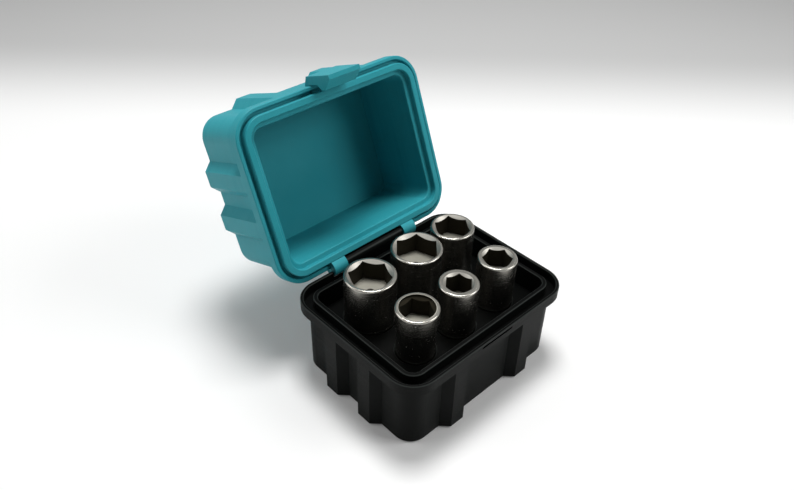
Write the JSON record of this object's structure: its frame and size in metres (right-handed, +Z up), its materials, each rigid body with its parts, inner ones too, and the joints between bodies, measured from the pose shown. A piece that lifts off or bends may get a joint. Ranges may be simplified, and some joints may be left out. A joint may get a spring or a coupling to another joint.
{
  "type": "socket storage case",
  "caption": "Small rugged hinged case with a snap latch, outside ribs and a pocketed tray that holds a set of square-drive sockets.",
  "frame": {"origin": "middle of the tub's flat underside", "axes": "+X along the long sides, -Y towards the latch side, +Z up"},
  "size_m": [0.1022, 0.1454, 0.1242],
  "materials": {
    "black_plastic": "satin, printed in layers",
    "teal_plastic": "satin, printed in layers",
    "satin_chrome": "satin chrome"
  },
  "bodies": {
    "base": {"base_shell": "black_plastic", "socket_tray": "black_plastic", "hinge_pin": "black_plastic"},
    "lid": {"lid_shell": "teal_plastic", "latch_pin": "teal_plastic"},
    "latch": {"snap_latch": "teal_plastic"},
    "socket_17mm": {"socket_17mm": "satin_chrome"},
    "socket_18mm": {"socket_18mm": "satin_chrome"},
    "socket_15mm": {"socket_15mm": "satin_chrome"},
    "socket_13mm": {"socket_13mm": "satin_chrome"},
    "socket_11mm": {"socket_11mm": "satin_chrome"},
    "socket_12mm": {"socket_12mm": "satin_chrome"}
  },
  "joints": [
    {"name": "lid_hinge", "type": "hinge", "parent": "base", "child": "lid", "pos_m": [0, 0.0402, 0.0401], "axis": [-1, 0, 0], "range_deg": [-112, 0]},
    {"name": "latch_swing", "type": "hinge", "parent": "lid", "child": "latch", "pos_m": [0, 0.07153, 0.1107], "axis": [-1, 0, 0], "range_deg": [0, 14], "stiffness_Nm_per_rad": 0.05},
    {"name": "lift_17mm", "type": "slide", "parent": "base", "child": "socket_17mm", "axis": [0, 0, 1], "range_m": [0, 0.03]},
    {"name": "lift_18mm", "type": "slide", "parent": "base", "child": "socket_18mm", "axis": [0, 0, 1], "range_m": [0, 0.03]},
    {"name": "lift_15mm", "type": "slide", "parent": "base", "child": "socket_15mm", "axis": [0, 0, 1], "range_m": [0, 0.03]},
    {"name": "lift_13mm", "type": "slide", "parent": "base", "child": "socket_13mm", "axis": [0, 0, 1], "range_m": [0, 0.03]},
    {"name": "lift_11mm", "type": "slide", "parent": "base", "child": "socket_11mm", "axis": [0, 0, 1], "range_m": [0, 0.03]},
    {"name": "lift_12mm", "type": "slide", "parent": "base", "child": "socket_12mm", "axis": [0, 0, 1], "range_m": [0, 0.03]}
  ]
}
